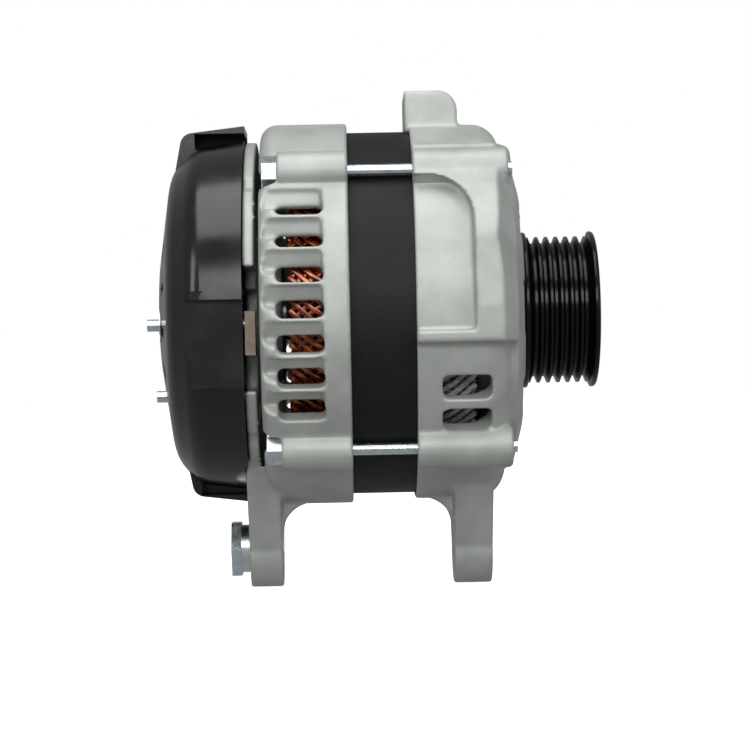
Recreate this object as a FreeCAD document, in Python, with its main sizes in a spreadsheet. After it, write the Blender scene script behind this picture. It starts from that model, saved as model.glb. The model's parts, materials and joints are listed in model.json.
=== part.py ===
"""Car alternator with an internal fan at each end of its rotor.

The rotor's axis lies along +X and the drive end, with the pulley, is at +X. +Z is up.
The origin is the middle of the pivot bore in the front bracket's lower ear.
Every piece is drawn about the rotor's axis, and its Placement lifts it to the shaft's height.
All sizes are in millimetres and all angles in degrees.
"""
import FreeCAD, Part
import math
import os
import re
import Sketcher

Vector = FreeCAD.Vector
Rotation = FreeCAD.Rotation
Placement = FreeCAD.Placement

AXIS_OF_ROTOR = Vector(1, 0, 0)
NEAR_SIDE = 0
FAR_SIDE = 180

# name, value, meaning. An x is a station along the rotor's axis from the pivot bore's middle.
DIMENSIONS = [
    ("shaft_height", 84.5, "rotor axis above the pivot axis"),
    ("running_gap", 0.05, "radial clearance of pieces that turn on each other"),
    ("fit_gap", 0.15, "clearance of pieces that only sit in each other"),
    ("seat_gap", 0.05, "clearance of pieces that are pressed together"),
    ("overrun", 1.0, "how far a cut, or a block that joins, runs past the face it meets"),
    # stator
    ("core_radius", 65.3, "outside of the laminated core"),
    ("core_bore", 51.0, "inside of the core"),
    ("core_rear_x", -48.5, "rear face of the core"),
    ("core_length", 34.0, "stack of laminations"),
    ("slot_count", 96, "slots for the winding"),
    ("slot_width", 1.9, "width of a slot"),
    ("slot_depth", 9.5, "slot from the bore outwards"),
    ("conductor_width", 1.5, "copper in a slot, across"),
    ("crown_inner", 52.6, "inside of the winding's ends"),
    ("crown_outer", 60.0, "outside of the winding's ends"),
    ("crown_rear_length", 15.6, "winding beyond the core, rear"),
    ("crown_front_length", 15.0, "winding beyond the core, front"),
    # brackets
    ("rim_depth", 5.9, "how far a bracket reaches over the core"),
    ("rear_rim_radius", 68.6, "outside of the rear bracket"),
    ("front_rim_radius", 67.5, "outside of the front bracket"),
    ("rear_wall", 6.1, "wall of the rear bracket's drum"),
    ("front_wall", 4.8, "wall of the front bracket's drum"),
    ("rear_drum_x", -73.5, "rear end of the rear bracket's drum"),
    ("rear_face_x", -79.0, "rear face of the rear bracket"),
    ("rear_lip_radius", 62.4, "lip that the cover sits over"),
    ("end_wall", 4.0, "thickness of the brackets' end walls"),
    ("rear_round", 5.7, "round of the rear bracket's shoulder"),
    ("front_drum_x", 11.5, "front end of the front bracket's drum"),
    ("front_round", 9.5, "round of the front bracket's shoulder"),
    ("front_step_x", 14.5, "edge of the front face"),
    ("front_step_radius", 57.0, "edge of the front face"),
    ("front_cone_x", 18.0, "where the front face turns flat"),
    ("front_cone_radius", 44.0, "where the front face turns flat"),
    ("front_nose_x", 18.8, "front face round the bearing"),
    ("front_haunch", 6.0, "slope inside the front bracket's shoulder"),
    ("hub_radius", 29.0, "boss round the front bearing"),
    ("rear_hub_radius", 24.0, "boss round the rear bearing"),
    ("rear_intakes", 6, "air intakes in the rear end wall"),
    ("rear_intake_half", 8.0, "half width of a rear intake"),
    ("rear_intake_length", 20.0, "rear intake along the radius"),
    ("front_intakes", 8, "air intakes in the front end wall"),
    ("front_intake_half", 8.5, "half width of a front intake"),
    ("front_intake_length", 14.0, "front intake along the radius"),
    ("notch_low", 27.0, "foot of the notch for the stator leads, below the rotor axis"),
    ("notch_high", 15.0, "top of the notch for the stator leads"),
    ("notch_lip", 0.8, "drum left over in the notch"),
    ("lead_block_gap", 0.6, "space round the lead block in its notch"),
    ("lead_block_half", 15.0, "lead block below the rotor axis"),
    ("lead_block_inner", 46.0, "inner face of the lead block"),
    ("lead_block_depth", 14.5, "lead block along the radius"),
    # vents
    ("vent_pitch", 10.3, "angle between the rear bracket's vents"),
    ("vent_rows", 7, "vents on each side of the rear bracket"),
    ("vent_left_x", -67.6, "rear end of a vent"),
    ("vent_length", 16.2, "length of a vent"),
    ("vent_height", 5.9, "height of a vent"),
    ("vent_round", 2.2, "corners of the vents"),
    ("vent_inward", 4.0, "how far a vent's cut reaches into the winding's space"),
    ("scoop_tilt", 25.0, "slope of the scoop beside a vent"),
    ("scoop_depth", 4.2, "depth of a scoop beside its vent"),
    ("scoop_foot", 2.4, "lower edge of a scoop above its vent's middle"),
    ("scoop_brow", 6.5, "upper edge of a scoop above its vent's middle"),
    ("scoop_lead", 4.6, "how far a scoop starts behind its vent"),
    ("front_vent_left_x", -11.8, "rear end of a front vent"),
    ("front_vent_length", 16.8, "length of a front vent"),
    ("front_vent_height", 8.8, "height of a front vent"),
    ("front_vent_pitch", 10.9, "angle between the front vents"),
    ("front_vent_angle", -29.5, "middle of the two near front vents"),
    ("front_scoop", 5.0, "depth of the groove that runs on from a front vent"),
    # ears
    ("ear_radius", 14.0, "round end of the lower ears"),
    ("ear_bore", 5.25, "pivot bore, for an M10 bolt"),
    ("front_ear_width", 13.8, "front lower ear along the axis"),
    ("rear_ear_x", -80.2, "rear face of the rear lower ear"),
    ("rear_ear_width", 11.8, "rear lower ear along the axis"),
    ("ear_root", 34.0, "half width of the ears where they leave the drum"),
    ("ear_gusset", 13.3, "how far an ear's round corner runs along the drum"),
    ("ear_gusset_half", 15.0, "half width of the ears' round corners"),
    ("ear_gusset_root", 6.0, "depth of the ears' round corners in the drum"),
    ("ear_gusset_overlap", 3.0, "depth of the ears' round corners in the ear"),
    ("ear_gusset_edge", 1.5, "drum left between the round corner and its end"),
    ("top_ear_x", -21.9, "rear face of the top ear"),
    ("top_ear_width", 18.9, "top ear along the axis"),
    ("top_ear_height", 78.9, "top of the top ear above the rotor axis"),
    ("top_ear_half", 15.0, "half width of the top ear"),
    ("top_ear_round", 7.0, "round of the top ear's front corner"),
    ("pad_front_radius", 63.0, "where the side pad's front edge starts to fall back"),
    ("pad_fall_x", 11.0, "how far the side pad's front edge falls back"),
    ("pad_fall_radius", 18.0, "radius over which it falls back"),
    ("pad_root", 30.0, "where the side pad joins the drum"),
    ("pad_top_reach", 46.0, "side pad's top edge from the rotor axis"),
    ("pad_shoulder_reach", 60.0, "side pad beside the upper bolt"),
    ("pad_shoulder_top", 42.0, "height at which it reaches that far"),
    ("pad_face_reach", 71.0, "side pad's face from the rotor axis"),
    ("pad_crown", 1.0, "how much the face bulges at its middle"),
    ("pad_face_top", 24.0, "top of the side pad's face"),
    ("pad_low", 12.0, "underside of the side pad, below the rotor axis"),
    ("pad_pocket_x", 0.5, "front wall of the pocket, behind the pivot bore"),
    ("pad_pocket_low", 8.0, "foot of the pocket, below the rotor axis"),
    ("pad_pocket_top", 45.5, "top of the pocket"),
    ("pad_pocket_round", 15.0, "round of the pocket in the side pad"),
    ("adjust_bore", 4.25, "bore for the adjusting bolt"),
    ("adjust_run", 5.5, "groove over the drum in front of the adjusting bore"),
    ("adjust_wall", 4.0, "ear left over the adjusting bore"),
    ("bush_radius", 7.5, "sleeve of the mounting bush"),
    ("bush_bore", 4.25, "threaded bore of the bush, M10"),
    ("bush_collar", 8.65, "collar of the mounting bush"),
    ("bush_flats", 19.0, "across the flats of the bush's hexagon"),
    ("bush_collar_length", 3.2, "collar along the axis"),
    ("bush_hex_length", 3.6, "hexagon along the axis"),
    # through bolts
    ("bolt_circle", 67.7, "radius of the through bolts' circle"),
    ("bolt_radius", 2.1, "through bolt's shank"),
    ("bolt_head_x", -72.0, "rear end of the bolt heads"),
    ("bolt_head_height", 5.0, "bolt head"),
    ("bolt_flats", 9.6, "across the flats of a bolt head"),
    ("bolt_tip_x", 14.0, "front end of the bolts"),
    ("boss_radius", 7.0, "bosses round the through bolts"),
    ("bolt_pocket", 6.4, "pockets for the bolt heads"),
    ("boss_front_x", 12.4, "front face of the bosses"),
    # bearings
    ("front_bearing_x", 2.0, "rear face of the front bearing"),
    ("front_bearing_width", 14.0, "front bearing"),
    ("front_bearing_outer", 23.5, "front bearing's outside radius"),
    ("front_bearing_inner", 8.5, "front bearing's bore radius"),
    ("front_ball", 4.0, "radius of a front ball"),
    ("front_balls", 8, "balls in the front bearing"),
    ("rear_bearing_x", -78.5, "rear face of the rear bearing"),
    ("rear_bearing_width", 11.0, "rear bearing"),
    ("rear_bearing_outer", 17.5, "rear bearing's outside radius"),
    ("rear_bearing_inner", 7.5, "rear bearing's bore radius"),
    ("rear_ball", 3.0, "radius of a rear ball"),
    ("rear_balls", 8, "balls in the rear bearing"),
    ("sleeve_wall", 1.0, "plastic sleeve round the rear bearing"),
    ("rear_lip", 3.0, "lip of the rear bracket in front of its bearing"),
    ("front_lip", 4.0, "lip of the front bracket in front of its bearing"),
    ("race_depth", 0.7, "rings' shoulders from the pitch circle, as a part of a ball's radius"),
    ("cage_depth", 0.3, "half thickness of a cage, as a part of a ball's radius"),
    ("cage_width", 1.2, "half width of a cage, as a part of a ball's radius"),
    ("front_seal", 0.9, "thickness of the front bearing's seals"),
    ("rear_seal", 0.7, "thickness of the rear bearing's seals"),
    ("seal_step", 0.3, "how far the seals sit inside the rings' faces"),
    # rotor
    ("air_gap", 0.4, "between the claws and the core"),
    ("pole_rear_x", -51.5, "rear face of the rotor's poles"),
    ("pole_length", 40.0, "both claw poles together"),
    ("pole_plate", 9.5, "thickness of a pole's plate"),
    ("claw_count", 8, "claws on each pole"),
    ("claw_short", 3.0, "claw tips behind the other pole's face"),
    ("claw_root", 7.6, "half width of a claw at its root"),
    ("claw_tip", 3.0, "half width of a claw at its tip"),
    ("claw_root_inner", 38.8, "inside of a claw at its root"),
    ("claw_tip_inner", 46.8, "inside of a claw at its tip"),
    ("pole_hub", 27.0, "core of a pole under the coil"),
    ("shaft_core", 9.5, "shaft radius in the poles"),
    ("chamfer", 1.0, "chamfer of the thread's end"),
    ("bearing_seat_rest", 1.0, "rear bearing's seat behind the bearing"),
    ("shaft_tail", 4.6, "shaft radius under the slip rings"),
    ("shaft_tail_x", -104.0, "rear end of the shaft"),
    ("coil_outer", 38.0, "outside of the field coil"),
    ("bobbin_wall", 1.2, "flanges of the coil's bobbin"),
    ("bobbin_tube", 1.0, "wall of the bobbin under the coil"),
    ("fan_outer", 45.0, "fan plates"),
    ("fan_hole", 10.5, "hole of the rear fan"),
    ("fan_tip", 49.5, "tips of the fan blades"),
    ("fan_plate", 1.2, "thickness of the fans' sheet steel"),
    ("front_blade", 8.0, "height of the front fan's blades"),
    ("rear_blade", 12.0, "height of the rear fan's blades"),
    ("fan_blades", 11, "blades on each fan"),
    ("fan_root", 29.0, "inner end of a blade"),
    ("blade_lead", 12.0, "how far a blade's tip leads its root"),
    ("blade_bend", 5.3, "how far a blade leads where it bends"),
    ("blade_sheet", 1.3, "thickness of a blade"),
    ("collar_outer", 12.0, "spacer collar behind the front bearing"),
    ("ring_radius", 7.2, "outside of the slip rings"),
    ("ring_wall", 1.0, "wall of a slip ring"),
    ("ring_rise", 0.5, "insulation between the slip rings above them"),
    ("ring_width", 5.0, "slip ring along the axis"),
    ("front_ring_x", -88.5, "rear face of the front slip ring"),
    ("rear_ring_x", -96.5, "rear face of the rear slip ring"),
    # pulley
    ("pulley_rear_x", 19.3, "rear face of the pulley"),
    ("pulley_front_x", 45.9, "front face of the pulley"),
    ("pulley_flange", 28.2, "pulley's flanges"),
    ("rib_tip", 26.5, "tips of the pulley's ribs"),
    ("groove_floor", 24.2, "floor of the belt grooves"),
    ("groove_pitch", 3.56, "from groove to groove"),
    ("groove_count", 6, "belt grooves"),
    ("first_groove_x", 23.5, "middle of the rear groove"),
    ("groove_mouth", 1.4, "half width of a groove at the ribs' tips"),
    ("groove_foot", 0.45, "half width of a groove's floor"),
    ("flange_start", 1.9, "foot of a flange from the nearest groove's middle"),
    ("flange_slope", 0.9, "how far a flange's inner side leans"),
    ("flange_width", 1.7, "rear flange"),
    ("flange_foot", 0.6, "foot of the flanges below the ribs' tips"),
    ("flange_round", 0.6, "rounded rims of the pulley"),
    ("recess_chamfer", 2.0, "chamfer of the pulley's recess"),
    ("pulley_web_x", 33.0, "floor of the recess for the nut"),
    ("pulley_recess", 16.5, "recess for the nut"),
    ("nut_flats", 24.0, "across the pulley nut's flats"),
    ("nut_height", 9.0, "pulley nut"),
    ("thread_radius", 8.0, "shaft's thread, M16"),
    ("thread_rest", 2.5, "thread that stands out of the nut"),
    # rear cover
    ("cover_face_x", -110.5, "rear face of the cover"),
    ("cover_edge_x", -79.2, "open edge of the cover"),
    ("cover_radius", 64.0, "cover's skirt"),
    ("cover_wall", 2.0, "wall of the cover"),
    ("stud_radius", 2.15, "studs that hold the cover"),
    ("stud_tip_x", -114.6, "rear end of the cover studs"),
    ("near_stud_y", 20.0, "nearest cover stud, in front of the rotor axis"),
    ("far_stud_y", 34.0, "farthest cover stud"),
    ("side_studs_z", 3.4, "those two below the rotor axis"),
    ("low_stud_y", 18.0, "lowest cover stud"),
    ("low_stud_z", 29.0, "that one below the rotor axis"),
    ("dome_radius", 52.0, "where the cover's rear face has turned forwards"),
    ("dome_x", -105.5, "where the cover's rear face has turned forwards"),
    ("dome_shoulder_x", -97.0, "shoulder of the cover"),
    ("hub_flat", 20.0, "flat middle of the cover's rear face"),
    ("hub_blend", 30.0, "round at the flat's edge"),
    ("dome_round", 14.0, "round of the dome's edge"),
    ("shoulder_round", 9.0, "round of the cover's shoulder"),
    ("shoulder_draft", 2.2, "taper of the skirt"),
    ("top_bulge", 3.4, "bulge on top of the cover"),
    ("low_bulge", 3.0, "bulge under the cover"),
    ("bulge_draft", 2.5, "taper of the bulges"),
    ("bulge_round", 4.5, "round of the bulges' rear edge"),
    ("bulge_start", 4.0, "rear edge of the upper bulge in front of the dome's edge"),
    ("bulge_half", 14.0, "half width of the upper bulge"),
    ("low_bulge_half", 12.0, "half width of the lower bulge"),
    ("recess_top", 7.0, "side recess of the cover, above the rotor axis"),
    ("recess_low", 26.0, "side recess of the cover, below the rotor axis"),
    ("recess_reach", 58.6, "side recess from the rotor axis"),
    ("recess_wall_low", 20.0, "straight part of the recess's wall, below the rotor axis"),
    ("cooling_slots", 7, "air slots in the cover's rear face"),
    ("slot_half", 1.6, "half width of an air slot"),
    ("slot_inner", 29.0, "inner end of an air slot"),
    ("slot_outer", 39.0, "outer end of an air slot"),
    ("slot_spread", 150.0, "angle from the first air slot to the last"),
    ("ear_window", 3.0, "cover's edge cut away over the ear"),
    ("cup_radius", 6.0, "recess for a cover nut"),
    ("cup_depth", 4.4, "recess for a cover nut"),
    ("cover_nut_flats", 8.0, "across a cover nut's flats"),
    ("cover_nut_height", 4.0, "cover nut"),
    # rectifier, regulator and brushes
    ("plate_inner", 38.0, "inside of the rectifier plates"),
    ("plate_outer", 56.0, "outside of the rectifier plates"),
    ("plate_step", 3.0, "positive plate inside the negative one"),
    ("plate_top", 11.0, "where the rectifier plates end, above the rotor axis"),
    ("negative_x", -83.5, "rear face of the negative plate"),
    ("negative_plate", 2.5, "thickness of the negative plate"),
    ("positive_x", -92.0, "rear face of the positive plate"),
    ("positive_plate", 2.6, "thickness of the positive plate"),
    ("board_x", -88.6, "rear face of the terminal board"),
    ("board_thickness", 1.6, "terminal board"),
    ("diode_radius", 6.0, "diode can"),
    ("diode_height", 3.2, "diode can"),
    ("diode_circle", 47.0, "circle of the diodes"),
    ("diode_spread", 120.0, "angle from the first diode to the last"),
    ("diode_count", 6, "diodes on each plate"),
    ("battery_stud", 4.0, "battery terminal, M8"),
    ("battery_shank", 4.5, "its shank under the nut and in the insulator"),
    ("battery_y", 40.0, "battery terminal"),
    ("battery_z", -22.0, "battery terminal"),
    ("battery_tip_x", -109.0, "rear end of the battery terminal"),
    ("insulator_radius", 8.4, "insulator round the battery terminal"),
    ("battery_thread", 9.5, "terminal that stands out of its insulator"),
    ("terminal_nut", 4.0, "nut of the battery terminal"),
    ("terminal_flats", 13.0, "across its flats"),
    ("regulator_x", -98.0, "rear face of the regulator"),
    ("regulator_length", 14.0, "regulator along the axis"),
    ("regulator_left", 11.0, "near side of the regulator"),
    ("regulator_right", 40.0, "far side of the regulator"),
    ("regulator_low", 14.0, "underside of the regulator"),
    ("regulator_high", 38.0, "top of the regulator"),
    ("socket_high", 28.0, "top of the plug socket"),
    ("socket_root", 30.0, "where the plug socket leaves the regulator"),
    ("socket_floor", 43.0, "floor of the plug socket"),
    ("socket_window", 0.5, "space round the plug socket in the cover"),
    ("socket_wall", 1.6, "wall of the plug socket"),
    ("socket_tip", 67.0, "open end of the plug socket"),
    ("brush_width", 4.2, "brush along the axis"),
    ("brush_across", 5.6, "brush across"),
    ("brush_length", 12.0, "brush"),
    ("holder_low", 11.3, "underside of the brush holder"),
    ("holder_top", 33.0, "top of the brush holder"),
    ("holder_roof", 2.0, "roof of the brush holder"),
    ("holder_half", 7.0, "half width of the brush holder"),
    ("holder_end", 3.0, "brush holder beyond the slip rings"),
    ("spring_wire", 0.5, "brush spring's wire"),
    ("spring_radius", 1.5, "middle of the brush spring's wire"),
    ("spring_turns", 6, "turns of a brush spring"),
    ("shield_inner", 9.4, "inside of the slip ring shield"),
    ("shield_outer", 10.8, "outside of the slip ring shield"),
    ("shield_end", 1.0, "shield behind the shaft's end and behind the bearing"),
    ("shield_slot", 4.5, "half width of the shield's opening for the brushes"),
    ("screw_radius", 1.6, "small screws"),
    ("retainer_head", 2.6, "heads of the retainer's screws"),
    ("retainer_thickness", 2.0, "bearing retainer"),
    ("retainer_outer", 28.6, "bearing retainer"),
    ("retainer_circle", 26.2, "circle of the retainer's screws"),
    ("screw_grip", 8.0, "how deep the retainer's screws go"),
]

doc = FreeCAD.newDocument("alternator")
sheet = doc.addObject("Spreadsheet::Sheet", "dims")
for row, (alias, size, meaning) in enumerate(DIMENSIONS, start=1):
    sheet.set("A%d" % row, alias)
    sheet.set("B%d" % row, str(size))
    sheet.set("C%d" % row, meaning)
    sheet.setAlias("B%d" % row, alias)
doc.recompute()

pieces = []


def cells(size):
    """A size written with the sheet's names, as an expression that reads the sheet."""
    return re.sub(r"\b([a-z]\w+)\b(?!\()", r"dims.\1", str(size))


def value(size):
    """The number that a size written with the sheet's names has now."""
    return float(sheet.evalExpression(cells(size)))


def origin_feature(body, role):
    """One of the body's own planes or axes."""
    return next(part for part in body.Origin.OriginFeatures if part.Role == role)


def add_piece(name, kind="PartDesign::Body"):
    """A sub-part of the alternator, lifted to the shaft's height."""
    piece = doc.addObject(kind, name)
    piece.Label = name
    piece.setExpression("Placement.Base.z", cells("shaft_height"))
    pieces.append(piece)
    return piece


def new_sketch(body, role, offset="0", angle=None):
    """A sketch on the body's plane, moved along its normal, or turned about the rotor's axis."""
    sketch = body.newObject("Sketcher::SketchObject", body.Name + "_sketch")
    sketch.AttachmentSupport = [(origin_feature(body, role), "")]
    sketch.MapMode = "FlatFace"
    if angle is None:
        sketch.setExpression("AttachmentOffset.Base.z", cells(offset))
        return sketch
    turned = "(%s)" % cells(angle)
    sketch.AttachmentOffset = Placement(Vector(), Rotation(AXIS_OF_ROTOR, -value(angle)))
    sketch.setExpression("AttachmentOffset.Rotation.Angle", "0 - " + turned)
    sketch.setExpression("AttachmentOffset.Base.y", "(%s) * sin(%s)" % (cells(offset), turned))
    sketch.setExpression("AttachmentOffset.Base.z", "(%s) * cos(%s)" % (cells(offset), turned))
    return sketch


def fix_point(sketch, edge, corner, x, y):
    """Hold one point of a sketch at two sizes of the sheet."""
    for kind, size in (("DistanceX", x), ("DistanceY", y)):
        index = sketch.addConstraint(Sketcher.Constraint(kind, -1, 1, edge, corner, value(size)))
        sketch.setExpression("Constraints[%d]" % index, cells(size))


def corner_arc(before, corner, after, radius):
    """The arc that rounds a corner, and whether it runs from the edge before to the edge after."""
    back = (before - corner).normalize()
    ahead = (after - corner).normalize()
    half = back.getAngle(ahead) / 2
    middle = corner + (back + ahead).normalize() * (radius / math.sin(half))
    ends = [corner + way * (radius / math.tan(half)) - middle for way in (back, ahead)]
    runs_on = back.cross(ahead).z < 0
    start, stop = ends if runs_on else reversed(ends)
    angles = [math.atan2(end.y, end.x) for end in (start, stop)]
    return Part.ArcOfCircle(Part.Circle(middle, Vector(0, 0, 1), radius), angles[0], angles[1]), runs_on


def draw_outline(sketch, points):
    """A closed outline through (x, y) points, or (x, y, radius) ones where a corner is round."""
    places = [Vector(value(point[0]), value(point[1]), 0) for point in points]
    count = len(points)
    arcs = {}
    leave = list(places)
    reach = list(places)
    for i, point in enumerate(points):
        if len(point) == 3:
            arc, runs_on = corner_arc(places[i - 1], places[i], places[(i + 1) % count], value(point[2]))
            arcs[i] = (arc, runs_on)
            reach[i], leave[i] = (arc.StartPoint, arc.EndPoint) if runs_on else (arc.EndPoint, arc.StartPoint)
    first = sketch.GeometryCount
    for i in range(count):
        sketch.addGeometry(Part.LineSegment(leave[i], reach[(i + 1) % count]), False)
    for i, point in enumerate(points):
        line_in = first + (i - 1) % count
        line_out = first + i
        if i not in arcs:
            sketch.addConstraint(Sketcher.Constraint("Coincident", line_in, 2, line_out, 1))
            fix_point(sketch, line_out, 1, point[0], point[1])
            continue
        arc, runs_on = arcs[i]
        corner = sketch.addGeometry(Part.Point(places[i]), True)
        fix_point(sketch, corner, 1, point[0], point[1])
        edge = sketch.addGeometry(arc, False)
        start, stop = (1, 2) if runs_on else (2, 1)
        sketch.addConstraint(Sketcher.Constraint("PointOnObject", corner, 1, line_in))
        sketch.addConstraint(Sketcher.Constraint("PointOnObject", corner, 1, line_out))
        sketch.addConstraint(Sketcher.Constraint("Tangent", line_in, 2, edge, start))
        sketch.addConstraint(Sketcher.Constraint("Tangent", edge, stop, line_out, 1))
        index = sketch.addConstraint(Sketcher.Constraint("Radius", edge, value(point[2])))
        sketch.setExpression("Constraints[%d]" % index, cells(point[2]))


def draw_circle(sketch, radius, x="0", y="0"):
    """A circle whose radius and middle come from the sheet."""
    edge = sketch.GeometryCount
    middle = Vector(value(x), value(y), 0)
    sketch.addGeometry(Part.Circle(middle, Vector(0, 0, 1), value(radius)), False)
    index = sketch.addConstraint(Sketcher.Constraint("Radius", edge, value(radius)))
    sketch.setExpression("Constraints[%d]" % index, cells(radius))
    fix_point(sketch, edge, 3, x, y)


def turn(body, points, cut=False):
    """Turn an outline of (x, radius) points about the rotor's axis, as material or as a cut."""
    sketch = new_sketch(body, "XZ_Plane")
    draw_outline(sketch, points)
    kind = "PartDesign::Groove" if cut else "PartDesign::Revolution"
    feature = body.newObject(kind, body.Name + ("_groove" if cut else "_turned"))
    feature.Profile = sketch
    feature.ReferenceAxis = (sketch, ["H_Axis"])
    feature.Angle = 360
    return feature


def tube(x, length, inner, outer):
    """The outline of a plain ring."""
    end = "%s + %s" % (x, length)
    return [(x, inner), (end, inner), (end, outer), (x, outer)]


def extrude(body, sketch, length, cut=False):
    """Pad or pocket a sketch along its own normal."""
    kind = "PartDesign::Pocket" if cut else "PartDesign::Pad"
    feature = body.newObject(kind, body.Name + ("_pocket" if cut else "_pad"))
    feature.Profile = sketch
    feature.setExpression("Length", cells(length))
    feature.Reversed = cut
    return feature


def disc(body, x, length, radius, y="0", z="0", cut=False):
    """A round pad or hole along the axis, starting at station x."""
    sketch = new_sketch(body, "YZ_Plane", x)
    draw_circle(sketch, radius, y, z)
    return extrude(body, sketch, length, cut)


def prism(body, x, length, points, cut=False):
    """A pad or cut along the axis with an outline of (y, z) points."""
    sketch = new_sketch(body, "YZ_Plane", x)
    draw_outline(sketch, points)
    return extrude(body, sketch, length, cut)


def side_block(body, angle, offset, length, points, cut=False):
    """A pad or cut along a radius, with an outline of (x, across) points."""
    sketch = new_sketch(body, "XZ_Plane", offset, angle)
    draw_outline(sketch, points)
    return extrude(body, sketch, length, cut)


def rectangle(left, right, low, high, *radius):
    """Four corners, round if a radius is given."""
    return [(left, low, *radius), (right, low, *radius), (right, high, *radius), (left, high, *radius)]


def hexagon(flats, y="0", z="0"):
    """Six corners round a point, two of its flats level."""
    reach = "%s / sqrt(3)" % flats
    corners = []
    for step in range(6):
        turned = "%d" % (60 * step)
        corners.append(("%s + %s * cos(%s)" % (y, reach, turned), "%s + %s * sin(%s)" % (z, reach, turned)))
    return corners


def around(body, features, count, angle="360"):
    """Repeat features about the rotor's axis."""
    pattern = body.newObject("PartDesign::PolarPattern", body.Name + "_pattern")
    pattern.Originals = features
    pattern.Axis = (origin_feature(body, "X_Axis"), [""])
    pattern.setExpression("Angle", cells(angle))
    pattern.setExpression("Occurrences", cells(count))
    body.Tip = pattern
    return pattern


# ---------------------------------------------------------------- stator

def stator_core():
    body = add_piece("stator_core")
    turn(body, tube("core_rear_x", "core_length", "core_bore", "core_radius"))
    low = "core_bore - overrun"
    high = "core_bore + slot_depth"
    half = "slot_width / 2"
    slot = prism(body, "core_rear_x - overrun", "core_length + 2 * overrun",
                 rectangle("0 - " + half, half, low, high), cut=True)
    around(body, [slot], "slot_count")


def stator_winding():
    body = add_piece("stator_winding")
    rear_x = "core_rear_x - crown_rear_length"
    front_x = "core_rear_x + core_length + fit_gap"
    turn(body, tube(rear_x, "crown_rear_length - fit_gap", "crown_inner", "crown_outer"))
    turn(body, tube(front_x, "crown_front_length", "crown_inner", "crown_outer"))
    half = "conductor_width / 2"
    low = "crown_inner + 1"
    leg = prism(body, "core_rear_x - overrun", "core_length + 2 * overrun",
                rectangle("0 - " + half, half, low, "crown_outer"))
    around(body, [leg], "slot_count")


# ---------------------------------------------------------------- brackets

CORE_FRONT_X = "core_rear_x + core_length"
REAR_RIM_X = "core_rear_x + rim_depth"
FRONT_RIM_X = "core_rear_x + core_length - rim_depth"
BORE = "core_radius + seat_gap"
BOLT_REACH = "bolt_circle * sin(45)"
ADJUST_Z = "top_ear_height - adjust_bore - adjust_wall"
SIGNS = ("0 - ", "")
BOLT_CORNERS = [(side + BOLT_REACH, level + BOLT_REACH) for side in SIGNS for level in SIGNS]


def lower_ear(body, x, width):
    """A round ear at the pivot axis that widens upwards into the drum."""
    disc(body, x, width, "ear_radius", z="0 - shaft_height")
    prism(body, x, width, [("0 - ear_radius", "0 - shaft_height"), ("ear_radius", "0 - shaft_height"),
                           ("ear_root", "0 - core_bore"), ("0 - ear_root", "0 - core_bore")])


def ear_gusset(body, inner_x, outwards, rim):
    """The hollow round corner between an ear's inner face and the underside of the drum."""
    reach = "%s ear_gusset" % outwards
    back = "%s ear_gusset_overlap" % ("-" if outwards == "+" else "+")
    sketch = new_sketch(body, "XZ_Plane", "0 - ear_gusset_half")
    root = "ear_gusset_root - %s" % rim
    top = "overrun - %s" % rim
    low = "0 - shaft_height + ear_radius"
    points = [(inner_x + back, root), (inner_x + reach, root), (inner_x + reach, top),
              (inner_x, top, "ear_gusset - ear_gusset_edge"), (inner_x, low), (inner_x + back, low)]
    draw_outline(sketch, points)
    extrude(body, sketch, "2 * ear_gusset_half")


def bolt_bosses(body, x, length):
    """Bosses round the four through bolts."""
    for y, z in BOLT_CORNERS:
        disc(body, x, length, "boss_radius", y, z)


def bolt_holes(body, x, length):
    """Clearance holes for the four through bolts."""
    for y, z in BOLT_CORNERS:
        disc(body, x, length, "bolt_radius + fit_gap", y, z, cut=True)


def rear_vents(body, side):
    """A row of vents, each with a sloping scoop above it, on one side of the rear bracket."""
    first = "%d + vent_pitch * (vent_rows - 1) / 2" % side
    right_x = "vent_left_x + vent_length"
    half = "vent_height / 2"
    window = side_block(body, first, "crown_outer - vent_inward",
                        "rear_rim_radius + boss_radius - crown_outer + vent_inward",
                        rectangle("vent_left_x", right_x, "0 - " + half, half, "vent_round"), cut=True)
    lean = "(%s) - scoop_tilt" % first
    deep = "(rear_rim_radius - scoop_depth)"
    floor = deep + " * cos(scoop_tilt + scoop_foot)"
    low = deep + " * sin(scoop_tilt + scoop_foot / 2)"
    high = "rear_rim_radius * sin(scoop_tilt + scoop_brow)"
    scoop = side_block(body, lean, floor, "2 * boss_radius",
                       rectangle("vent_left_x - scoop_lead", right_x + " - overrun / 2", low, high), cut=True)
    around(body, [window, scoop], "vent_rows", "vent_pitch * (vent_rows - 1)")


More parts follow.
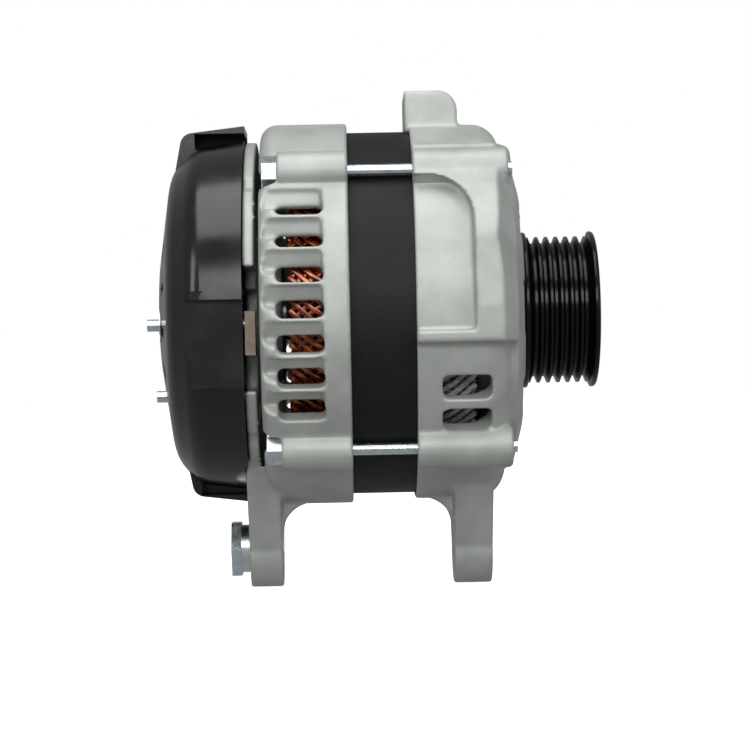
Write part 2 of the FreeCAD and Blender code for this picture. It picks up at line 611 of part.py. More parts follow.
def rear_bracket():
    body = add_piece("rear_bracket")
    lower_ear(body, "rear_ear_x", "rear_ear_width")
    ear_gusset(body, "rear_ear_x + rear_ear_width ", "+", "rear_rim_radius")
    bolt_seat_x = "bolt_head_x + bolt_head_height"
    bolt_bosses(body, bolt_seat_x, "core_rear_x + rim_depth - bolt_head_x - bolt_head_height")
    turn(body, [("rear_face_x", "0"), (REAR_RIM_X, "0"), (REAR_RIM_X, "rear_rim_radius"),
                ("rear_drum_x", "rear_rim_radius", "rear_round"), ("rear_drum_x", "rear_lip_radius"),
                ("rear_face_x", "rear_lip_radius")])
    inside = "rear_rim_radius - rear_wall"
    hub_x = "rear_bearing_x + rear_bearing_width + overrun"
    wall_x = "rear_face_x + end_wall"
    turn(body, [(wall_x, "rear_hub_radius"), (hub_x, "rear_hub_radius"), (hub_x, "0"),
                ("core_rear_x", "0"), ("core_rear_x", inside), (wall_x, inside)], cut=True)
    seat = "rear_bearing_outer + sleeve_wall"
    seat_length = "rear_bearing_width + rear_bearing_x - rear_face_x + overrun"
    turn(body, tube("rear_face_x - overrun", seat_length, "0", seat), cut=True)
    turn(body, tube("rear_face_x", seat_length + " + overrun", "0", "rear_bearing_outer - rear_lip"), cut=True)
    intake = side_block(body, "0", "rear_hub_radius + end_wall", "rear_intake_length",
                        rectangle("rear_face_x - overrun", wall_x + " + overrun / 2", "0 - rear_intake_half",
                                  "rear_intake_half"), cut=True)
    around(body, [intake], "rear_intakes")
    rear_vents(body, NEAR_SIDE)
    rear_vents(body, FAR_SIDE)
    for y, z in BOLT_CORNERS:
        disc(body, "rear_face_x - overrun", bolt_seat_x + " - rear_face_x + overrun", "bolt_pocket", y, z,
             cut=True)
    bolt_holes(body, "bolt_head_x", "core_rear_x + rim_depth - bolt_head_x + overrun")
    turn(body, tube("core_rear_x - overrun / 2", "rim_depth + 1.5 * overrun", "0", BORE), cut=True)
    disc(body, "rear_ear_x - overrun", "rear_ear_width + 2 * overrun", "bush_radius + seat_gap",
         z="0 - shaft_height", cut=True)
    side_block(body, "0", "plate_inner", "rear_rim_radius",
               rectangle("rear_face_x - overrun", "rear_drum_x - notch_lip", "0 - notch_low", "notch_high"),
               cut=True)


def front_pad(body):
    """The thick pad on the near side, with a deep pocket beside the core."""
    top = "front_step_radius"
    low = "0 - pad_low"
    prism(body, FRONT_RIM_X, "front_step_x - core_rear_x - core_length + rim_depth",
          [("0 - pad_root", top), ("0 - pad_top_reach", top), ("0 - pad_shoulder_reach", "pad_shoulder_top"),
           ("0 - pad_face_reach", "pad_face_top"), ("0 - pad_face_reach - pad_crown", "0"),
           ("0 - pad_face_reach", low), ("0 - pad_root", low)])
    fallen = ("front_step_x - pad_fall_x", "pad_front_radius + pad_fall_radius")
    clear_x = "front_step_x + pad_fall_x"
    turn(body, [("front_step_x", "pad_front_radius"), (clear_x, "pad_front_radius"),
                (clear_x, "pad_front_radius + 2 * pad_fall_radius"), fallen], cut=True)
    left = FRONT_RIM_X + " - overrun"
    right = "0 - pad_pocket_x"
    sketch = new_sketch(body, "XZ_Plane", "pad_root")
    draw_outline(sketch, [(left, "0 - pad_pocket_low"), (right, "0 - pad_pocket_low"),
                          (right, "pad_pocket_top", "pad_pocket_round"), (left, "pad_pocket_top")])
    extrude(body, sketch, "pad_face_reach", cut=True)


def front_vents(body, side):
    """Two vents under the pad, each with a scoop that runs on into the shoulder."""
    first = "%d + front_vent_angle + front_vent_pitch / 2" % side
    right_x = "front_vent_left_x + front_vent_length"
    half = "front_vent_height / 2"
    window = side_block(body, first, "crown_outer - 2 * vent_inward", "front_rim_radius / 2",
                        rectangle("front_vent_left_x", right_x, "0 - " + half, half, "vent_round"), cut=True)
    scoop = side_block(body, first, "front_rim_radius - front_scoop", "front_rim_radius / 2",
                       rectangle(right_x + " - overrun", "front_drum_x - 1.5 * overrun", "0 - " + half,
                                 "overrun - " + half), cut=True)
    around(body, [window, scoop], "2", "front_vent_pitch")


def top_ear(body):
    """The ear for the adjusting bolt, on top of the front bracket."""
    front_x = "top_ear_x + top_ear_width"
    sketch = new_sketch(body, "XZ_Plane", "0 - top_ear_half")
    draw_outline(sketch, [("top_ear_x", "core_bore"), (front_x, "core_bore"),
                          (front_x, "top_ear_height", "top_ear_round"), ("top_ear_x", "top_ear_height")])
    extrude(body, sketch, "2 * top_ear_half")


def front_bracket():
    body = add_piece("front_bracket")
    front_pad(body)
    lower_ear(body, "0 - front_ear_width / 2", "front_ear_width")
    ear_gusset(body, "0 - front_ear_width / 2 ", "-", "front_rim_radius")
    top_ear(body)
    boss_length = "boss_front_x - core_rear_x - core_length + rim_depth"
    bolt_bosses(body, FRONT_RIM_X, boss_length)
    turn(body, [(FRONT_RIM_X, "0"), ("front_nose_x", "0"), ("front_nose_x", "hub_radius"),
                ("front_cone_x", "front_cone_radius"), ("front_step_x", "front_step_radius"),
                ("front_drum_x", "front_step_radius"), ("front_drum_x", "front_rim_radius", "front_round"),
                (FRONT_RIM_X, "front_rim_radius")])
    inside = "front_rim_radius - front_wall"
    wall_x = "front_cone_x - 1.5 * end_wall"
    haunch_x = "front_drum_x - end_wall - front_haunch / 2"
    hub_x = "front_bearing_x"
    turn(body, [(CORE_FRONT_X, "0"), (hub_x, "0"), (hub_x, "hub_radius"), (wall_x, "hub_radius"),
                (wall_x, "front_cone_radius"), (haunch_x, inside + " - front_haunch"),
                (haunch_x + " - front_haunch", inside), (CORE_FRONT_X, inside)], cut=True)
    seat_x = "front_bearing_x - overrun"
    turn(body, tube(seat_x, "front_bearing_width + overrun", "0", "front_bearing_outer"), cut=True)
    inside = "front_bearing_outer - front_lip"
    turn(body, tube(seat_x, "front_nose_x - front_bearing_x + 3 * overrun", "0", inside), cut=True)
    intake = side_block(body, "0", "hub_radius + front_wall / 2", "front_intake_length",
                        rectangle(wall_x + " - overrun", "front_nose_x + overrun", "0 - front_intake_half",
                                  "front_intake_half"), cut=True)
    around(body, [intake], "front_intakes")
    front_vents(body, NEAR_SIDE)
    front_vents(body, FAR_SIDE)
    bolt_holes(body, FRONT_RIM_X + " - overrun", boss_length + " + boss_radius")
    turn(body, tube(FRONT_RIM_X + " - 3 * overrun", "rim_depth + 3 * overrun", "0", BORE), cut=True)
    disc(body, "0 - front_ear_width", "2 * front_ear_width", "ear_bore", z="0 - shaft_height", cut=True)
    disc(body, "top_ear_x - overrun", "top_ear_width + 2 * overrun", "adjust_bore", z=ADJUST_Z, cut=True)
    disc(body, "top_ear_x + top_ear_width", "front_drum_x - top_ear_x - top_ear_width + overrun", "adjust_run",
         z=ADJUST_Z, cut=True)
    hole = disc(body, "front_bearing_x - overrun", "screw_grip + overrun", "screw_radius", y="retainer_circle",
                cut=True)
    around(body, [hole], "4")


# ---------------------------------------------------------------- fasteners and bush

def through_bolts():
    body = add_piece("through_bolts")
    y, z = BOLT_CORNERS[-1]
    shank = disc(body, "bolt_head_x", "bolt_tip_x - bolt_head_x", "bolt_radius", y, z)
    head = prism(body, "bolt_head_x", "bolt_head_height", hexagon("bolt_flats", y, z))
    around(body, [shank, head], "4")


def mount_bush():
    body = add_piece("mount_bush")
    low = "0 - shaft_height"
    collar_x = "rear_ear_x - bush_collar_length"
    disc(body, "rear_ear_x", "rear_ear_width", "bush_radius", z=low)
    disc(body, collar_x, "bush_collar_length", "bush_collar", z=low)
    prism(body, collar_x + " - bush_hex_length", "bush_hex_length", hexagon("bush_flats", z=low))
    length = "rear_ear_width + bush_collar_length + bush_hex_length + 2 * overrun"
    disc(body, collar_x + " - bush_hex_length - overrun", length, "bush_bore", z=low, cut=True)


# ---------------------------------------------------------------- bearings

class Bearing:
    """A deep-groove ball bearing whose sizes have names in the sheet."""

    def __init__(self, place):
        self.place = place
        self.x = "%s_bearing_x" % place
        self.width = "%s_bearing_width" % place
        self.outer = "%s_bearing_outer" % place
        self.inner = "%s_bearing_inner" % place
        self.ball = "%s_ball" % place
        self.count = "%s_balls" % place
        self.middle = "%s + %s / 2" % (self.x, self.width)
        self.pitch = "(%s + %s) / 2" % (self.outer, self.inner)
        self.inner_land = "%s - race_depth * %s" % (self.pitch, self.ball)
        self.outer_land = "%s + race_depth * %s" % (self.pitch, self.ball)
        self.seal = "%s_seal" % place

    def race(self, name, low, high):
        """A ring with a round groove for the balls."""
        body = add_piece("%s_bearing_%s" % (self.place, name))
        turn(body, tube(self.x, self.width, low, high))
        sketch = new_sketch(body, "XZ_Plane")
        draw_circle(sketch, "%s + running_gap" % self.ball, self.middle, self.pitch)
        groove = body.newObject("PartDesign::Groove", body.Name + "_groove")
        groove.Profile = sketch
        groove.ReferenceAxis = (sketch, ["H_Axis"])
        groove.Angle = 360

    def balls(self):
        """The balls, evenly spaced."""
        body = add_piece("%s_balls_set" % self.place)
        ball = body.newObject("PartDesign::AdditiveSphere", body.Name + "_ball")
        ball.setExpression("Radius", cells(self.ball))
        ball.AttachmentSupport = [(origin_feature(body, "YZ_Plane"), "")]
        ball.MapMode = "FlatFace"
        ball.setExpression("AttachmentOffset.Base.z", cells(self.middle))
        ball.setExpression("AttachmentOffset.Base.y", cells(self.pitch))
        around(body, [ball], self.count)

    def cage(self):
        """A ring with a round pocket for each ball."""
        body = add_piece("%s_ball_cage" % self.place)
        start = "%s - cage_width * %s" % (self.middle, self.ball)
        low = "%s - cage_depth * %s" % (self.pitch, self.ball)
        high = "%s + cage_depth * %s" % (self.pitch, self.ball)
        turn(body, tube(start, "2 * cage_width * %s" % self.ball, low, high))
        sketch = new_sketch(body, "XY_Plane")
        draw_circle(sketch, "%s + running_gap" % self.ball, self.middle, "0")
        pocket = extrude(body, sketch, self.outer, cut=True)
        around(body, [pocket], self.count)

    def seals(self):
        """A thin ring at each side, held by the outer ring."""
        body = add_piece("%s_bearing_seals" % self.place)
        inside = "%s + running_gap" % self.inner_land
        rear = "%s + seal_step" % self.x
        front = "%s + %s - seal_step - %s" % (self.x, self.width, self.seal)
        turn(body, tube(rear, self.seal, inside, self.outer_land))
        turn(body, tube(front, self.seal, inside, self.outer_land))

    def build(self):
        self.race("inner_ring", self.inner, self.inner_land)
        self.race("outer_ring", self.outer_land, self.outer)
        self.balls()
        self.cage()
        self.seals()


def rear_bearing_sleeve():
    body = add_piece("rear_bearing_sleeve")
    outer = "rear_bearing_outer + sleeve_wall"
    turn(body, tube("rear_bearing_x", "rear_bearing_width", "rear_bearing_outer", outer))


def bearing_retainer():
    body = add_piece("bearing_retainer")
    rear_x = "front_bearing_x - retainer_thickness"
    turn(body, tube(rear_x, "retainer_thickness", "front_bearing_outer - front_lip", "retainer_outer"))
    hole = disc(body, rear_x + " - overrun", "retainer_thickness + 2 * overrun", "screw_radius",
                y="retainer_circle", cut=True)
    around(body, [hole], "4")


def retainer_screws():
    body = add_piece("retainer_screws")
    face = "front_bearing_x - retainer_thickness"
    shank = disc(body, face, "retainer_thickness + screw_grip", "screw_radius", y="retainer_circle")
    head = disc(body, face + " - screw_radius", "screw_radius", "retainer_head", y="retainer_circle")
    around(body, [shank, head], "4")


# ---------------------------------------------------------------- rotor

POLE_FRONT_X = "pole_rear_x + pole_length"
POLE_MIDDLE_X = "pole_rear_x + pole_length / 2"
BEARING_SHOULDER_X = "rear_bearing_x + rear_bearing_width"
BEARING_FRONT_X = "front_bearing_x + front_bearing_width"
TAIL_X = "rear_bearing_x - bearing_seat_rest"


def rotor_shaft():
    body = add_piece("rotor_shaft")
    thread_end = "pulley_web_x + nut_height + thread_rest"
    turn(body, [("shaft_tail_x", "0"), (thread_end, "0"), (thread_end, "thread_radius - chamfer"),
                (thread_end + " - chamfer", "thread_radius"), ("pulley_web_x", "thread_radius"),
                ("pulley_web_x", "front_bearing_inner"), (POLE_FRONT_X, "front_bearing_inner"),
                (POLE_FRONT_X, "shaft_core"), (BEARING_SHOULDER_X, "shaft_core"),
                (BEARING_SHOULDER_X, "rear_bearing_inner"), (TAIL_X, "rear_bearing_inner"),
                (TAIL_X, "shaft_tail"), ("shaft_tail_x", "shaft_tail")])


def claw_pole(name, plate_x, tip_x, phase):
    """One half of the rotor's iron: a hub, a plate and claws that reach over the coil."""
    body = add_piece(name)
    ends = sorted([plate_x, tip_x], key=value)
    inward = 1 if value(tip_x) > value(plate_x) else -1
    plate_rear = plate_x if inward > 0 else plate_x + " - pole_plate"
    hub_rear = plate_x if inward > 0 else POLE_MIDDLE_X
    turn(body, tube(hub_rear, "pole_length / 2", "shaft_core", "pole_hub"))
    turn(body, tube(plate_rear, "pole_plate", "shaft_core", "claw_root_inner + overrun"))
    loft = body.newObject("PartDesign::AdditiveLoft", name + "_claw")
    sections = []
    for x, half, low in ((plate_x, "claw_root", "claw_root_inner"), (tip_x, "claw_tip", "claw_tip_inner")):
        sketch = new_sketch(body, "YZ_Plane", x)
        draw_outline(sketch, rectangle("0 - " + half, half, low, "core_bore + 2 * overrun"))
        sections.append(sketch)
    loft.Profile = sections[0]
    loft.Sections = sections[1:]
    around(body, [loft], "claw_count")
    rear_x = ends[0] + " - overrun"
    turn(body, tube(rear_x, "pole_length + 2 * overrun", "core_bore - air_gap", "core_radius"), cut=True)
    body.Placement = Placement(Vector(), Rotation(AXIS_OF_ROTOR, phase))
    body.setExpression("Placement.Base.z", cells("shaft_height"))


def coil_bobbin():
    body = add_piece("coil_bobbin")
    rear_x = "pole_rear_x + pole_plate"
    front_x = "pole_rear_x + pole_length - pole_plate - bobbin_wall"
    turn(body, tube(rear_x, "pole_length - 2 * pole_plate", "pole_hub", "pole_hub + bobbin_tube"))
    turn(body, tube(rear_x, "bobbin_wall", "pole_hub", "coil_outer"))
    turn(body, tube(front_x, "bobbin_wall", "pole_hub", "coil_outer"))


def field_coil():
    body = add_piece("field_coil")
    turn(body, tube("pole_rear_x + pole_plate + bobbin_wall", "pole_length - 2 * pole_plate - 2 * bobbin_wall",
                    "pole_hub + bobbin_tube", "coil_outer"))


def fan(name, plate_x, blade_x, height, hole):
    """A pressed steel fan: a plate and blades that stand up from it."""
    body = add_piece(name)
    turn(body, tube(plate_x, "fan_plate", hole, "fan_outer"))
    sketch = new_sketch(body, "YZ_Plane", blade_x)
    bend = "fan_tip - blade_lead"
    draw_outline(sketch, [("0 - blade_sheet", "fan_root"), ("0", "fan_root"), ("blade_bend", bend),
                          ("blade_lead", "fan_tip - 1.6 * blade_sheet"),
                          ("blade_lead - 0.8 * blade_sheet", "fan_tip - blade_sheet"),
                          ("blade_bend - blade_sheet", bend + " + blade_sheet / 2")])
    blade = extrude(body, sketch, height + " + fan_plate")
    around(body, [blade], "fan_blades")


def spacer_collar():
    body = add_piece("spacer_collar")
    turn(body, tube(POLE_FRONT_X, "front_bearing_x - pole_rear_x - pole_length", "front_bearing_inner",
                    "collar_outer"))


def slip_rings():
    body = add_piece("slip_rings")
    for x in ("rear_ring_x", "front_ring_x"):
        turn(body, tube(x, "ring_width", "ring_radius - ring_wall", "ring_radius"))


def ring_insulator():
    body = add_piece("ring_insulator")
    start = "shaft_tail_x + overrun / 2"
    turn(body, tube(start, TAIL_X + " - shaft_tail_x - overrun / 2", "shaft_tail", "ring_radius - ring_wall"))
    between = "rear_ring_x + ring_width"
    turn(body, tube(between, "front_ring_x - rear_ring_x - ring_width", "ring_radius - 1.5 * ring_wall",
                    "ring_radius + ring_rise"))


def pulley():
    body = add_piece("pulley")
    foot = "rib_tip - flange_foot"
    points = [(BEARING_FRONT_X, "front_bearing_inner"), (BEARING_FRONT_X, "collar_outer"),
              ("pulley_rear_x", "collar_outer"), ("pulley_rear_x", "pulley_flange", "flange_round"),
              ("pulley_rear_x + flange_width", "pulley_flange", "flange_round"),
              ("first_groove_x - flange_start", foot)]
    for groove in range(int(value("groove_count"))):
        middle = "first_groove_x + %d * groove_pitch" % groove
        points.append((middle + " - groove_mouth", "rib_tip"))
        points.append((middle + " - groove_foot", "groove_floor"))
        points.append((middle + " + groove_foot", "groove_floor"))
        points.append((middle + " + groove_mouth", "rib_tip"))
    end = "first_groove_x + (groove_count - 1) * groove_pitch + flange_start"
    points += [(end, foot), (end + " + flange_slope", "pulley_flange", "flange_round / 2"),
               ("pulley_front_x", "pulley_flange", "2 * flange_round"),
               ("pulley_front_x", "pulley_recess + recess_chamfer"),
               ("pulley_front_x - recess_chamfer", "pulley_recess"), ("pulley_web_x", "pulley_recess"),
               ("pulley_web_x", "front_bearing_inner")]
    turn(body, points)


def pulley_nut():
    body = add_piece("pulley_nut")
    prism(body, "pulley_web_x", "nut_height", hexagon("nut_flats"))
    disc(body, "pulley_web_x - overrun", "nut_height + 2 * overrun", "thread_radius", cut=True)


# ---------------------------------------------------------------- rectifier, regulator and brushes

COVER_STUDS = [("0 - near_stud_y", "0 - side_studs_z"), ("low_stud_y", "0 - low_stud_z"),
               ("far_stud_y", "0 - side_studs_z")]


def half_plate(name, x, thickness, inner, outer):
    """A flat piece round the lower side of the shaft."""
    body = add_piece(name)
    turn(body, tube(x, thickness, inner, outer))
    start = x + " - overrun"
    length = thickness + " + 2 * overrun"
    prism(body, start, length, rectangle("0 - core_radius", "core_radius", "plate_top", "core_radius"), cut=True)
    disc(body, start, length, "battery_shank + fit_gap", "battery_y", "battery_z", cut=True)


def diodes(name, x):
    body = add_piece(name)
    can = disc(body, x, "diode_height", "diode_radius", "0 - diode_circle")
    around(body, [can], "diode_count", "diode_spread")


def rectifier():
    half_plate("negative_plate", "negative_x", "negative_plate", "plate_inner", "plate_outer")
    half_plate("positive_plate", "positive_x", "positive_plate", "plate_inner", "plate_outer - plate_step")
    half_plate("terminal_board", "board_x", "board_thickness", "plate_inner + overrun", "plate_outer - overrun")
    diodes("negative_diodes", "negative_x - diode_height")
    diodes("positive_diodes", "positive_x - diode_height")


def battery_terminal():
    place = ("battery_y", "battery_z")
    seat_x = "battery_tip_x + battery_thread"
    shank_x = seat_x + " - terminal_nut"
    body = add_piece("battery_stud")
    disc(body, "battery_tip_x", "battery_thread", "battery_stud", *place)
    disc(body, shank_x, "negative_x - battery_tip_x - battery_thread + terminal_nut - overrun", "battery_shank",
         *place)
    body = add_piece("battery_insulator")
    disc(body, seat_x, "positive_x - battery_tip_x - battery_thread", "insulator_radius", *place)
    disc(body, "battery_tip_x", "positive_x - battery_tip_x + overrun", "battery_shank", *place, cut=True)
    body = add_piece("battery_nut")
    prism(body, shank_x, "terminal_nut", hexagon("terminal_flats", *place))
    disc(body, "battery_tip_x", "battery_thread + overrun", "battery_shank", *place, cut=True)


def stator_lead_block():
    """The moulded block that carries the winding's leads, seen in the notch of the rear bracket."""
    body = add_piece("stator_lead_block")
    side_block(body, "0", "lead_block_inner", "lead_block_depth",
               rectangle("rear_face_x + lead_block_gap", "rear_drum_x - notch_lip - lead_block_gap",
                         "0 - lead_block_half", "0"))


def regulator():
    body = add_piece("voltage_regulator")
    prism(body, "regulator_x", "regulator_length", rectangle("regulator_left", "regulator_right",
                                                       "regulator_low", "regulator_high"))
    sketch = new_sketch(body, "XZ_Plane", "0 - socket_tip")
    rear_x = "regulator_x + overrun"
    front_x = "regulator_x + regulator_length - overrun"
    draw_outline(sketch, rectangle(rear_x, front_x, "regulator_low", "socket_high"))
    extrude(body, sketch, "socket_tip - socket_root")
    sketch = new_sketch(body, "XZ_Plane", "0 - socket_tip - overrun")
    draw_outline(sketch, rectangle(rear_x + " + socket_wall", front_x + " - socket_wall",
                                   "regulator_low + socket_wall", "socket_high - socket_wall"))
    extrude(body, sketch, "socket_tip - socket_floor", cut=True)


def brush_gear(name, ring_x):
    """A brush on its slip ring, and the spring that presses it."""
    body = add_piece(name + "_brush")
    left = "%s + (ring_width - brush_width) / 2" % ring_x
    sketch = new_sketch(body, "XY_Plane", "ring_radius + running_gap")
    draw_outline(sketch, rectangle(left, left + " + brush_width", "0 - brush_across / 2", "brush_across / 2"))
    extrude(body, sketch, "brush_length")
    spring = add_piece(name + "_brush_spring", "Part::Feature")
    low = value("ring_radius + running_gap + brush_length + spring_wire / 2")
    high = value("holder_top - holder_roof - spring_wire / 2")
    turns = value("spring_turns")
    radius = value("spring_radius")
    path = Part.makeHelix((high - low) / turns, high - low, radius)
    middle = value("%s + ring_width / 2" % ring_x)
    path.translate(Vector(middle, 0, low))
    circle = Part.makeCircle(value("spring_wire / 2"), Vector(middle + radius, 0, low), Vector(0, 1, 0))
    spring.Shape = Part.Wire(path.Edges).makePipeShell([Part.Wire(circle)], True, True)
    spring.setExpression("Placement.Base.z", cells("shaft_height"))


def brush_holder():
    body = add_piece("brush_holder")
    length = "front_ring_x - rear_ring_x + ring_width + 2 * holder_end"
    prism(body, "rear_ring_x - holder_end", length,
          rectangle("0 - holder_half", "holder_half", "holder_low", "holder_top"))
    for ring_x in ("rear_ring_x", "front_ring_x"):
        sketch = new_sketch(body, "XY_Plane", "holder_low - overrun")
        left = "%s + (ring_width - brush_width) / 2 - fit_gap" % ring_x
        right = left + " + brush_width + 2 * fit_gap"
        half = "brush_across / 2 + fit_gap"
        draw_outline(sketch, rectangle(left, right, "0 - (%s)" % half, half))
        pocket = extrude(body, sketch, "holder_top - holder_roof - holder_low + overrun", cut=True)
        pocket.Reversed = True


def ring_shield():
    """The tube that keeps dust off the slip rings, open above them for the brushes."""
    body = add_piece("slip_ring_shield")
    length = "rear_bearing_x - shaft_tail_x - 2 * shield_end"
    turn(body, tube("shaft_tail_x - shield_end", length, "shield_inner", "shield_outer"))
    prism(body, "rear_ring_x - shield_end", "front_ring_x - rear_ring_x + ring_width + 2 * shield_end",
          rectangle("0 - shield_slot", "shield_slot", "0", "shield_outer + overrun"), cut=True)


# ---------------------------------------------------------------- rear cover

def cover_outline(inset):
    """The cover's half section, or its hollow when inset is the wall."""
    face = "cover_face_x + " + inset
    return [(face, "0"), (face, "hub_flat", "hub_blend"),
            ("dome_x + " + inset, "dome_radius - 0.6 * " + inset, "dome_round"),
            ("dome_shoulder_x + 0.4 * " + inset, "cover_radius - shoulder_draft - " + inset, "shoulder_round"),
            ("cover_edge_x", "cover_radius - " + inset), ("cover_edge_x", "0")]


def cover_bulge(body, sign, start, rise, half):
    """A raised part of the cover, above or below, with an outline seen from the side."""
    top = "cover_radius + " + rise
    sketch = new_sketch(body, "XZ_Plane", "0 - " + half)
    draw_outline(sketch, [("dome_x + %s - bulge_draft" % start, sign + "dome_radius"),
                          ("dome_x + " + start, "%s(%s - bulge_draft)" % (sign, top), "bulge_round"),
                          ("cover_edge_x", "%s(%s)" % (sign, top)),
                          ("cover_edge_x", sign + "dome_radius")])
    extrude(body, sketch, "2 * " + half)


def cover_hollow(body, low, high, half):
    """Empty the inside of a bulge."""
    prism(body, "dome_shoulder_x", "cover_edge_x - dome_shoulder_x + overrun",
          rectangle("0 - " + half, half, low, high), cut=True)


def cover_recess(body):
    """The hollow in the near side of the skirt, with a wall of its own behind it."""
    inner = "0 - recess_reach + cover_wall"
    low = "0 - recess_low"
    prism(body, "dome_shoulder_x", "cover_edge_x - dome_shoulder_x",
          [(inner, "recess_top"), ("0 - cover_radius + cover_wall", "recess_top"),
           ("0 - cover_radius + cover_wall", "cover_wall"), ("0 - recess_reach - overrun", "0 - recess_wall_low"),
           ("0 - recess_reach", low), (inner, low)])
    prism(body, "dome_x - cover_radius / 4", "cover_radius / 4 + cover_edge_x - dome_x + overrun",
          rectangle("0 - cover_radius - 2 * bulge_half", "0 - recess_reach", low, "bulge_start"), cut=True)


def cover_cups(body):
    """Recesses for the nuts, with holes for their studs."""
    for y, z in COVER_STUDS:
        disc(body, "cover_face_x + overrun", "cup_depth + cover_wall - overrun", "cup_radius + cover_wall", y, z)
    for y, z in COVER_STUDS:
        disc(body, "cover_face_x - overrun", "cup_depth + overrun", "cup_radius", y, z, cut=True)
        disc(body, "cover_face_x + cup_depth - overrun", "cover_wall + 2 * overrun", "stud_radius + fit_gap", y, z,
             cut=True)


def rear_cover():
    body = add_piece("rear_cover")
    turn(body, cover_outline("0"))
    cover_bulge(body, "", "bulge_start", "top_bulge", "bulge_half")
    cover_bulge(body, "0 - ", "1.5 * bulge_start", "low_bulge", "low_bulge_half")
    turn(body, cover_outline("cover_wall"), cut=True)
    cover_hollow(body, "dome_radius", "cover_radius + top_bulge - bulge_draft", "bulge_half - cover_wall")
    cover_hollow(body, "0 - cover_radius - low_bulge + bulge_draft", "0 - dome_radius",
                 "low_bulge_half - cover_wall")
    cover_recess(body)
    cover_cups(body)
    disc(body, "cover_face_x - overrun", "insulator_radius + 2 * cup_radius", "insulator_radius + socket_window",
         "battery_y", "battery_z", cut=True)
    prism(body, "rear_ear_x - fit_gap", "ear_window",
          rectangle("0 - ear_root", "ear_root", "0 - shaft_height", "0 - core_bore"), cut=True)
    side_block(body, "180", "socket_floor + cover_wall", "cover_radius",
               rectangle("regulator_x + socket_window", "regulator_x + regulator_length - socket_window",
                         "0 - socket_high - socket_window", "0 - regulator_low + socket_window"), cut=True)
    slot = prism(body, "cover_face_x - overrun", "cover_wall + 3 * overrun",
                 rectangle("0 - slot_half", "slot_half", "slot_inner", "slot_outer"), cut=True)
    around(body, [slot], "cooling_slots", "slot_spread")


def cover_fasteners():
    body = add_piece("cover_studs")
    for y, z in COVER_STUDS:
        disc(body, "stud_tip_x", "rear_face_x - stud_tip_x", "stud_radius", y, z)
    body = add_piece("cover_nuts")
    nut_x = "cover_face_x + cup_depth - cover_nut_height"
    for y, z in COVER_STUDS:
        prism(body, nut_x, "cover_nut_height", hexagon("cover_nut_flats", y, z))
        disc(body, nut_x + " - overrun", "cover_nut_height + 2 * overrun", "stud_radius", y, z, cut=True)


def save_pieces():
    """Check every object of the document, then write each piece to its file."""
    doc.recompute()
    for item in doc.Objects:
        if "Invalid" in item.State or "Error" in item.State:
            raise RuntimeError("%s didn't build: %s" % (item.Label, item.State))
    for piece in pieces:
        if piece.Shape.isNull() or not piece.Shape.isValid():
            raise RuntimeError("%s has no sound shape" % piece.Label)
    os.makedirs("parts", exist_ok=True)
    for piece in pieces:
        piece.Shape.exportStep("parts/%s.step" % piece.Label)
        print("%-24s solids %3d  volume %9.0f" % (piece.Label, len(piece.Shape.Solids), piece.Shape.Volume))


stator_core()
stator_winding()
rear_bracket()
front_bracket()
through_bolts()
mount_bush()
Bearing("front").build()
Bearing("rear").build()
rear_bearing_sleeve()
bearing_retainer()
retainer_screws()
rotor_shaft()
claw_pole("rear_pole", "pole_rear_x", POLE_FRONT_X + " - claw_short", 0)
claw_pole("front_pole", POLE_FRONT_X, "pole_rear_x + claw_short", 180 / value("claw_count"))
coil_bobbin()
field_coil()
fan("rear_fan", "pole_rear_x - fan_plate", "pole_rear_x - fan_plate - rear_blade", "rear_blade", "fan_hole")
fan("front_fan", POLE_FRONT_X, POLE_FRONT_X, "front_blade", "collar_outer + fit_gap")
spacer_collar()
slip_rings()
ring_insulator()
pulley()
pulley_nut()
rectifier()
battery_terminal()
stator_lead_block()
regulator()
brush_gear("rear", "rear_ring_x")
brush_gear("front", "front_ring_x")
brush_holder()
ring_shield()
rear_cover()
cover_fasteners()
save_pieces()
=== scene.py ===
"""Looks of the car alternator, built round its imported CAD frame."""
import json
import math

import bpy
from mathutils import Matrix, Vector


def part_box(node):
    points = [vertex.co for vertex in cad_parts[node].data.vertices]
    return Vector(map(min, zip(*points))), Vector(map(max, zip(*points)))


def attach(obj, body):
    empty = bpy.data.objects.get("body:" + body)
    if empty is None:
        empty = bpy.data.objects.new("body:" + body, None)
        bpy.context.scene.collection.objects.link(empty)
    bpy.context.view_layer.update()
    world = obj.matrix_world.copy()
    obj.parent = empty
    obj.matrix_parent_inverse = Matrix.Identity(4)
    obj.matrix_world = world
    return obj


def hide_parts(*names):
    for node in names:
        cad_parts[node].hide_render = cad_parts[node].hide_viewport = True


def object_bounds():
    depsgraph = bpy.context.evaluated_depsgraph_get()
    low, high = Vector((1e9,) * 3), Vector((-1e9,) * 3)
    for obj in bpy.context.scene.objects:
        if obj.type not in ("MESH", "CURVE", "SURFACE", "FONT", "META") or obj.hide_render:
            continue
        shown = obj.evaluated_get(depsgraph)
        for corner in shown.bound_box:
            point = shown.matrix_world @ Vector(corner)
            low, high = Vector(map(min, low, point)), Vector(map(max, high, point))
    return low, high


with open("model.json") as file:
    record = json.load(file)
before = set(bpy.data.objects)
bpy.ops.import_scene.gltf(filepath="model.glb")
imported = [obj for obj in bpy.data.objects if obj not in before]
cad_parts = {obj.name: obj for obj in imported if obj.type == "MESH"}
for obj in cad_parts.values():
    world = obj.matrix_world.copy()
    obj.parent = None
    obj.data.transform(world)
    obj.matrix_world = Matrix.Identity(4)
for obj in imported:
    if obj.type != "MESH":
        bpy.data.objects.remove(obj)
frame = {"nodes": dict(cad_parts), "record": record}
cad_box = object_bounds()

MM = 0.001
NODES = frame["nodes"]

